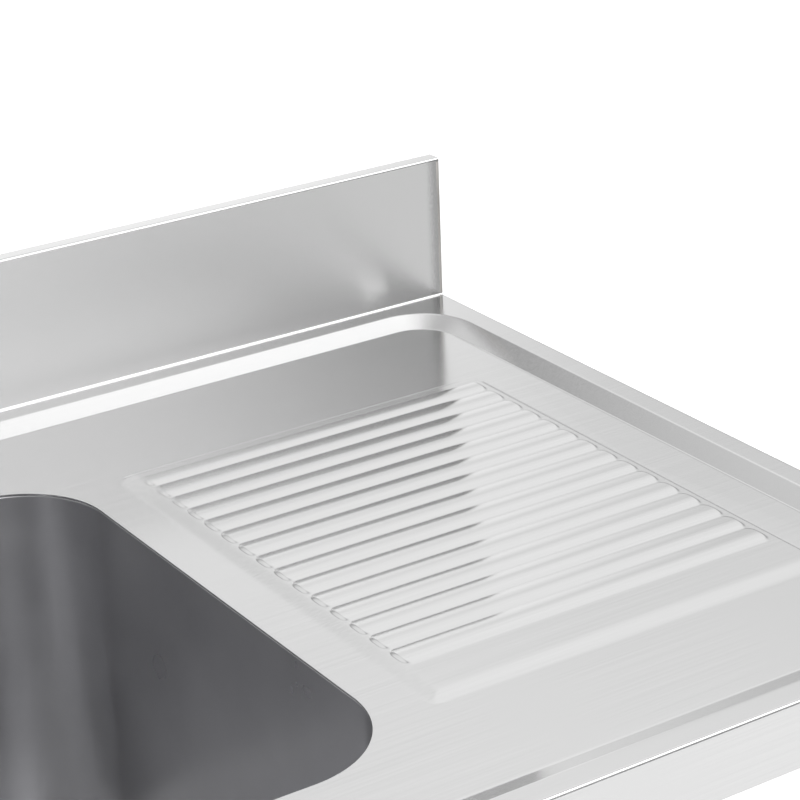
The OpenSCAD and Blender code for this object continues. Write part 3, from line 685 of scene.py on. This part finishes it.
def backsplash_end(side, low, high):
    """The plate welded into an end of the backsplash. It stops a sheet's thickness short of the back."""
    bm = bmesh.new()
    bmesh.ops.create_cube(bm, size=1)
    middle = (low + high) / 2
    depth = high.y - low.y - SHEET
    bmesh.ops.transform(bm, verts=bm.verts, matrix=Matrix.Translation(
        (middle.x, low.y + depth / 2, middle.z)) @ Matrix.Diagonal((high.x - low.x, depth, high.z - low.z, 1)))
    cap = make_piece(bm, f"backsplash_end_{side}", finish("top"),
                     replaces=(f"splash_end_{side}",))
    soften(cap, 0.3 * MM, angle=50)


def backsplash_weld(side, low, high):
    """The weld along the front corner of an end: a low rippled strip, ground back unevenly."""
    short, inset, sunk = 1 * MM, 0.2 * MM, 0.05 * MM
    z0, z1 = low.z + short, high.z - short
    lines_per_ripple, columns = 5, 8
    rows = int((z1 - z0) / (WELD_RIPPLE / lines_per_ripple))
    outer, inward = (high.x, -1) if side == "right" else (low.x, 1)
    bm = bmesh.new()
    for v in bmesh.ops.create_grid(bm, x_segments=columns, y_segments=rows, size=1)["verts"]:
        across, up = (v.co.x + 1) / 2, (v.co.y + 1) / 2
        z = z0 + (z1 - z0) * up
        # The ripples bulge downwards in the middle; the patches are where the grinder took more
        ripple = 0.75 + 0.25 * math.sin(z / WELD_RIPPLE * math.tau - 3 * (across - 0.5) ** 2 * math.tau)
        patch = 0.7 + 0.3 * math.sin(z / (9 * MM)) * math.sin(z / (23 * MM) + 1)
        swell = math.sin(across * math.pi) * ripple * patch
        v.co = (outer + inward * (inset + across * WELD_W), SPLASH_FACE - WELD_H * swell + sunk, z)
    bmesh.ops.solidify(bm, geom=bm.faces, thickness=0.3 * MM)
    bmesh.ops.recalc_face_normals(bm, faces=bm.faces)
    make_piece(bm, f"backsplash_weld_{side}", finish("weld"))


class SINK_OT_backsplash(bpy.types.Operator):
    """The folded backsplash, its two welded ends and the seam at its foot"""
    bl_idname = "sink.backsplash"
    bl_label = "Backsplash"

    def execute(self, context):
        sizes = context.scene.sink_sheet
        x0, x1 = TOP_LOW.x, TOP_HIGH.x
        bm = bmesh.new()
        fold = [(SPLASH_FACE, TOP_LOW.z), (SPLASH_FACE, SPLASH_TOP), (SPLASH_BACK, SPLASH_TOP),
                (SPLASH_BACK, SPLASH_TOP - SPLASH_LIP)]
        verts = [bm.verts.new((x0, y, z)) for y, z in fold]
        edges = [bm.edges.new(pair) for pair in zip(verts, verts[1:])]
        pull(bm, bmesh.ops.extrude_edge_only(bm, edges=edges), x1 - x0)
        bends = [e for e in bm.edges if len(e.link_faces) == 2]
        bmesh.ops.bevel(bm, geom=bends, offset=sizes.bend, offset_type="OFFSET", segments=6, profile=0.5,
                        affect="EDGES", material=-1)
        bmesh.ops.recalc_face_normals(bm, faces=bm.faces)
        tall = max(bm.faces, key=lambda f: f.calc_area())
        if tall.normal.y > 0:
            bmesh.ops.reverse_faces(bm, faces=bm.faces)
        # Faces that look up, the return on top, take the worktop's brighter colour and smoother finish, and the
        # rest the darker one: painted light and shade by which way each face looks
        for face in bm.faces:
            face.material_index = 1 if face.normal.z > 0.5 else 0
        piece = make_piece(bm, "backsplash_sheet", finish("splash"),
                           replaces=("backsplash",))
        piece.data.materials.append(finish("top"))
        thicken(piece, SHEET)
        soften(piece, sizes.edge, angle=50)
        backsplash_foot(x0, x1)
        for side in ("left", "right"):
            low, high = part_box(f"splash_end_{side}")
            backsplash_end(side, low, high)
            backsplash_weld(side, low, high)
        return {"FINISHED"}


# Bowl


class SINK_OT_bowl(bpy.types.Operator):
    """The drawn bowl that is welded under the worktop"""
    bl_idname = "sink.bowl"
    bl_label = "Bowl"

    def execute(self, context):
        bm = bmesh.new()
        top = FLOOR_LEVEL - SHEET
        lip, flat, straight = BOWL_LIP, 0.4 * MM, 1 * MM
        # (inset, height) from the flange's edge, over the lip, down the wall and round the fillet
        path = [(-BOWL_FLANGE, top), (-lip - flat, top)]
        path += [(-lip + c, top - lip + s) for c, s in arc(lip, 90, 0, 3)]
        path += [(0, BOWL_BOTTOM + BOWL_FILLET + straight)]
        path += [(BOWL_FILLET + c, BOWL_BOTTOM + BOWL_FILLET + s) for c, s in arc(BOWL_FILLET, 180, 270, 10)]
        path += [(BOWL_FILLET + straight, BOWL_BOTTOM)]
        loops = stack(bm, outline, [(inset_box(BOWL, i), BOWL_RADIUS - i) for i, z in path],
                      [z for i, z in path], segments=24)
        rings = stack(bm, ring, [(OUTLET, OUTLET_RADIUS + w) for w in (0, HOLE_BAND)], [BOWL_BOTTOM] * 2,
                      segments=48)
        fill_flat(bm, loops[-1] + rings[-1])
        face_up(bm)
        piece = make_piece(bm, "bowl_shell", finish("bowl"), replaces=("bowl",))
        thicken(piece, BOWL_SHEET)
        soften(piece, 0.25 * MM, segments=1, angle=50)
        return {"FINISHED"}


# Waste and standpipe


class SINK_OT_waste(bpy.types.Operator):
    """The waste, its seals and nut, and the lift-out standpipe"""
    bl_idname = "sink.waste"
    bl_label = "Waste and standpipe"

    def execute(self, context):
        from_node("waste_body", "waste_turned", finish("polish"), 0.3 * MM)
        from_node("waste_nut", "waste_backnut", finish("zinc"), 0.5 * MM)
        from_node("standpipe", "standpipe_turned", finish("polish"), 0.25 * MM)
        for name in ("waste_seal_upper", "waste_seal_lower", "standpipe_seal"):
            paint(name, "rubber")
        return {"FINISHED"}


# Legs, sockets and gussets


def bead(bm, radius, z, centre, size, lobes):
    """A weld bead: a rippled ring that fills the corner between a tube and a plate."""
    profile = bmesh.ops.create_circle(bm, segments=8, radius=size, matrix=Matrix.Translation(
        (centre[0] + radius, centre[1], z)) @ Matrix.Rotation(math.radians(90), 4, "X"))["verts"]
    edges = list({e for v in profile for e in v.link_edges})
    steps_per_lobe = 4
    bmesh.ops.spin(bm, geom=profile + edges, cent=(centre[0], centre[1], z), axis=(0, 0, 1),
                   angle=math.tau, steps=lobes * steps_per_lobe, use_merge=True)
    # The mesh holds the other corners' beads too, so only what lies on this ring swells
    near, ripple = size * 1.01, 0.12
    for v in bm.verts:
        arm = Vector((v.co.x - centre[0], v.co.y - centre[1], 0))
        if abs(arm.length - radius) <= near and abs(v.co.z - z) <= near:
            wave = 1 + ripple * math.cos(math.atan2(arm.y, arm.x) * lobes)
            ground = arm.normalized() * radius + Vector((centre[0], centre[1], z))
            v.co = ground + (v.co - ground) * wave


class SINK_OT_legs(bpy.types.Operator):
    """The tube legs with their gussets, sockets, collars and weld beads"""
    bl_idname = "sink.legs"
    bl_label = "Leg frame"

    def execute(self, context):
        bm = bmesh.new()
        for corner in CORNERS:
            paint(f"leg_{corner}", "tube")
            for source, name in (("gusset", "gusset_plate"), ("socket", "socket_tube"), ("collar", "collar_tube")):
                from_node(f"{source}_{corner}", f"{name}_{corner}", finish("mill"), 0.4 * MM)
            low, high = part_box(f"socket_{corner}")
            middle = (low + high) / 2
            bead(bm, (high.x - low.x) / 2 + 0.6 * MM, high.z - 0.9 * MM, middle.xy, size=1.5 * MM, lobes=30)
        bmesh.ops.recalc_face_normals(bm, faces=bm.faces)
        make_piece(bm, "socket_weld_beads", finish("weld"))
        for name in ("socket_screws", "collar_screws"):
            paint(name, "zinc")
        return {"FINISHED"}


# Feet


def threaded_rod(bm, centre, z0, z1):
    """A turned thread: one pitch of its profile, spun upwards."""
    root, crest = STUD_RADIUS - THREAD_DEPTH, STUD_RADIUS - 0.08 * MM
    x, y = centre
    points = [(root, 0), (crest, 0.42 * THREAD_PITCH), (crest, 0.58 * THREAD_PITCH), (root, THREAD_PITCH)]
    verts = [bm.verts.new((x + r, y, z0 + h)) for r, h in points]
    edges = [bm.edges.new(pair) for pair in zip(verts, verts[1:])]
    turns = int((z1 - z0) / THREAD_PITCH) - 1
    steps = 20
    bmesh.ops.spin(bm, geom=verts + edges, cent=(x, y, z0), axis=(0, 0, 1), angle=math.tau * turns,
                   steps=steps * turns, dvec=(0, 0, THREAD_PITCH / steps))


def levelling_stud(corner):
    """A stud with its button, neck, hexagon and core, each a closed solid on its axis, and the thread."""
    low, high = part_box(f"foot_stud_{corner}")
    centre = ((low.x + high.x) / 2, (low.y + high.y) / 2)
    overlap = 1 * MM
    # (bottom, top, radius, sides)
    parts = [(*BUTTON, 32), (10.5 * MM, HEXAGON_LEVEL + overlap, NECK_RADIUS, 32),
             (HEXAGON_LEVEL, HEXAGON_LEVEL + HEXAGON_H, HEXAGON_RADIUS, 6),
             (HEXAGON_LEVEL + overlap, high.z, STUD_RADIUS - 0.7 * MM, 32)]
    bm = bmesh.new()
    for z0, z1, radius, sides in parts:
        made = bmesh.ops.create_cone(
            bm, cap_ends=True, cap_tris=False, segments=sides, radius1=radius, radius2=radius,
            depth=z1 - z0, matrix=Matrix.Translation((*centre, (z0 + z1) / 2)))["verts"]
        rims = {e for v in made for e in v.link_edges if abs(e.verts[0].co.z - e.verts[1].co.z) < 1e-6}
        bmesh.ops.bevel(bm, geom=list(rims), offset=0.4 * MM, offset_type="OFFSET", segments=2,
                        profile=0.5, affect="EDGES", material=-1)
    threaded_rod(bm, centre, HEXAGON_LEVEL + HEXAGON_H - 0.5 * MM, high.z - THREAD_PITCH)
    bmesh.ops.remove_doubles(bm, verts=bm.verts, dist=0.003 * MM)
    bmesh.ops.recalc_face_normals(bm, faces=bm.faces)
    stud = make_piece(bm, f"foot_screw_{corner}", finish("zinc"), f"foot_{corner}",
                      (f"foot_stud_{corner}",))
    stud.data.set_sharp_from_angle(angle=math.radians(35))


class SINK_OT_feet(bpy.types.Operator):
    """The levelling feet: moulded pads, threaded studs and the inserts in the legs"""
    bl_idname = "sink.feet"
    bl_label = "Levelling feet"

    def execute(self, context):
        for corner in CORNERS:
            from_node(f"foot_pad_{corner}", f"foot_base_{corner}", finish("plastic"), 0.4 * MM)
            from_node(f"insert_{corner}", f"leg_insert_{corner}", finish("plastic"), 0.4 * MM)
            levelling_stud(corner)
        return {"FINISHED"}


# Shelf


class SINK_OT_shelf(bpy.types.Operator):
    """The lower shelf with its folded edges and the channel under it"""
    bl_idname = "sink.shelf"
    bl_label = "Shelf"

    def execute(self, context):
        from_node("shelf", "shelf_tray", finish("shelf"), 0.7 * MM, segments=3)
        from_node("shelf_stiffener", "shelf_channel", finish("mill"), 0.5 * MM)
        return {"FINISHED"}


# Underside


class SINK_OT_underside(bpy.types.Operator):
    """The channel, the sound pads and the bonding point under the worktop"""
    bl_idname = "sink.underside"
    bl_label = "Underside"

    def execute(self, context):
        from_node("drainer_stiffener", "drainer_channel", finish("mill"), 0.5 * MM)
        for name in ("drainer_sound_pad_left", "drainer_sound_pad_right", "bowl_sound_pad"):
            from_node(name, name + "_sheet", finish("bitumen"), 0.6 * MM)
        for name in ("bonding_bolt", "bonding_washer", "bonding_nut"):
            from_node(name, name + "_steel", finish("zinc"), 0.2 * MM)
        return {"FINISHED"}


# Stage


def direction(azimuth, elevation):
    """A unit direction; azimuth runs from the wall side towards the drainer end."""
    a, e = math.radians(azimuth), math.radians(elevation)
    return Vector((math.sin(a) * math.cos(e), math.cos(a) * math.cos(e), math.sin(e)))


def seen_straight(tree):
    """The kinds of ray, and whether the camera looks at this itself, straight or through glass."""
    rays = node(tree, "ShaderNodeLightPath").outputs
    return rays, node(tree, "ShaderNodeMath", {"operation": "MAXIMUM"}, i0=rays["Is Camera Ray"],
                      i1=rays["Is Transmission Ray"]).outputs[0]


def paper_floor(scene):
    """A pale paper floor. What the camera, metal and glass see of it is lifted to white; its shadows stay."""
    bm = bmesh.new()
    bmesh.ops.create_grid(bm, x_segments=1, y_segments=1, size=FLOOR_HALF)
    mesh = bpy.data.meshes.new("studio_floor")
    bm.to_mesh(mesh)
    bm.free()
    floor = bpy.data.objects.new("studio_floor", mesh)
    scene.collection.objects.link(floor)
    paper = bpy.data.materials.new("paper floor matt white")
    tree = empty_tree(paper)
    rays, clear = seen_straight(tree)
    seen = node(tree, "ShaderNodeMath", {"operation": "MAXIMUM"}, i0=clear, i1=rays["Is Glossy Ray"]).outputs[0]
    glow = node(tree, "ShaderNodeEmission", Color=(1, 1, 1, 1), Strength=node(
        tree, "ShaderNodeMath", {"operation": "MULTIPLY"}, i0=seen, i1=FLOOR_GLOW).outputs[0]).outputs[0]
    matt = node(tree, "ShaderNodeBsdfDiffuse", Color=(*linear("#EEEEEE"), 1)).outputs[0]
    lit = node(tree, "ShaderNodeAddShader", i0=matt, i1=glow).outputs[0]
    # From below the paper is clear, so that the underside of the table can be looked at
    under = node(tree, "ShaderNodeMath", {"operation": "MULTIPLY"}, i0=rays["Is Camera Ray"],
                 i1=node(tree, "ShaderNodeNewGeometry").outputs["Backfacing"]).outputs[0]
    empty = node(tree, "ShaderNodeBsdfTransparent").outputs[0]
    node(tree, "ShaderNodeOutputMaterial", Surface=node(
        tree, "ShaderNodeMixShader", i0=under, i1=lit, i2=empty).outputs[0])
    floor.data.materials.append(paper)


def soft_box(tree, way, azimuth, elevation, inner, outer, strength):
    """A round light far away, full out to inner degrees from its middle and gone at outer degrees."""
    near = node(tree, "ShaderNodeVectorMath", {"operation": "DOT_PRODUCT"}, i0=way,
                i1=direction(azimuth, elevation)).outputs["Value"]
    away = node(tree, "ShaderNodeMath", {"operation": "ARCCOSINE"}, i0=near).outputs[0]
    return node(tree, "ShaderNodeMapRange", {"interpolation_type": "SMOOTHSTEP"}, Value=away,
                From_Min=math.radians(inner), From_Max=math.radians(outer),
                To_Min=strength, To_Max=0.0).outputs["Result"]


def white_room(scene, studio):
    """White all round to the camera. Metal mirrors the white backdrop behind the drainer end, and the dimmer
    room with its soft boxes and dark cards away from it."""
    scene.world = bpy.data.worlds.new("white room")
    tree = empty_tree(scene.world)
    way = node(tree, "ShaderNodeTexCoord").outputs["Generated"]
    rays, clear = seen_straight(tree)
    backdrop = node(tree, "ShaderNodeMath", {"operation": "MULTIPLY"}, i0=rays["Is Glossy Ray"],
                    i1=soft_box(tree, way, *studio.backdrop, 1.0)).outputs[0]
    level = node(tree, "ShaderNodeMix", {"data_type": "FLOAT"}, i0=backdrop, i2=studio.room, i3=1.0).outputs[0]
    for box in (studio.horizon, studio.front, studio.overhead, studio.side, studio.window, studio.flag,
                studio.card):
        level = node(tree, "ShaderNodeMath", {"operation": "ADD"}, i0=soft_box(tree, way, *box),
                     i1=level).outputs[0]
    level = node(tree, "ShaderNodeMix", {"data_type": "FLOAT"}, i0=clear, i2=level, i3=1.0).outputs[0]
    node(tree, "ShaderNodeOutputWorld", Surface=node(
        tree, "ShaderNodeBackground", Color=(1, 1, 1, 1), Strength=level).outputs[0])


def photo_camera(scene, studio):
    """The camera that was fitted to the photograph."""
    camera = bpy.data.objects.new("camera", bpy.data.cameras.new("camera"))
    scene.collection.objects.link(camera)
    camera.data.lens = studio.lens
    camera.data.clip_start, camera.data.clip_end = 0.05, 100
    look = Matrix.Rotation(-studio.yaw, 3, "Z") @ Matrix.Rotation(math.radians(90) - studio.pitch, 3, "X")
    turn = Matrix.Rotation(studio.roll, 3, "Z")
    camera.matrix_world = Matrix.Translation(studio.place) @ (look @ turn).to_4x4()
    scene.camera = camera


class SINK_OT_stage(bpy.types.Operator):
    """The pale floor, the white room with its soft boxes, and the camera"""
    bl_idname = "sink.stage"
    bl_label = "Floor, light and camera"

    def execute(self, context):
        scene = context.scene
        paper_floor(scene)
        white_room(scene, scene.sink_studio)
        photo_camera(scene, scene.sink_studio)
        scene.view_settings.view_transform = "Standard"
        return {"FINISHED"}


class SINK_PT_panel(bpy.types.Panel):
    """Settings of the sink table and a button for each group of its pieces"""
    bl_label = "Sink table"
    bl_space_type = "VIEW_3D"
    bl_region_type = "UI"
    bl_category = "Sink table"

    def draw(self, context):
        for group in (context.scene.sink_sheet, context.scene.sink_finish, context.scene.sink_studio):
            box = self.layout.box()
            for name in group.__annotations__:
                box.prop(group, name)
        for operator in OPERATORS:
            self.layout.operator(operator.bl_idname)


OPERATORS = (SINK_OT_worktop, SINK_OT_backsplash, SINK_OT_bowl, SINK_OT_waste, SINK_OT_legs, SINK_OT_feet,
             SINK_OT_shelf, SINK_OT_underside, SINK_OT_stage)
GROUPS = {"sink_sheet": SINK_PG_sheet, "sink_finish": SINK_PG_finish, "sink_studio": SINK_PG_studio}


def register():
    for group in GROUPS.values():
        bpy.utils.register_class(group)
    for name, group in GROUPS.items():
        setattr(bpy.types.Scene, name, PointerProperty(type=group))
    for operator in (*OPERATORS, SINK_PT_panel):
        bpy.utils.register_class(operator)


def unregister():
    for operator in (SINK_PT_panel, *reversed(OPERATORS)):
        bpy.utils.unregister_class(operator)
    for name, group in GROUPS.items():
        delattr(bpy.types.Scene, name)
        bpy.utils.unregister_class(group)


def main():
    register()
    for operator in OPERATORS:
        group, name = operator.bl_idname.split(".")
        getattr(getattr(bpy.ops, group), name)()


if __name__ == "__main__":
    main()
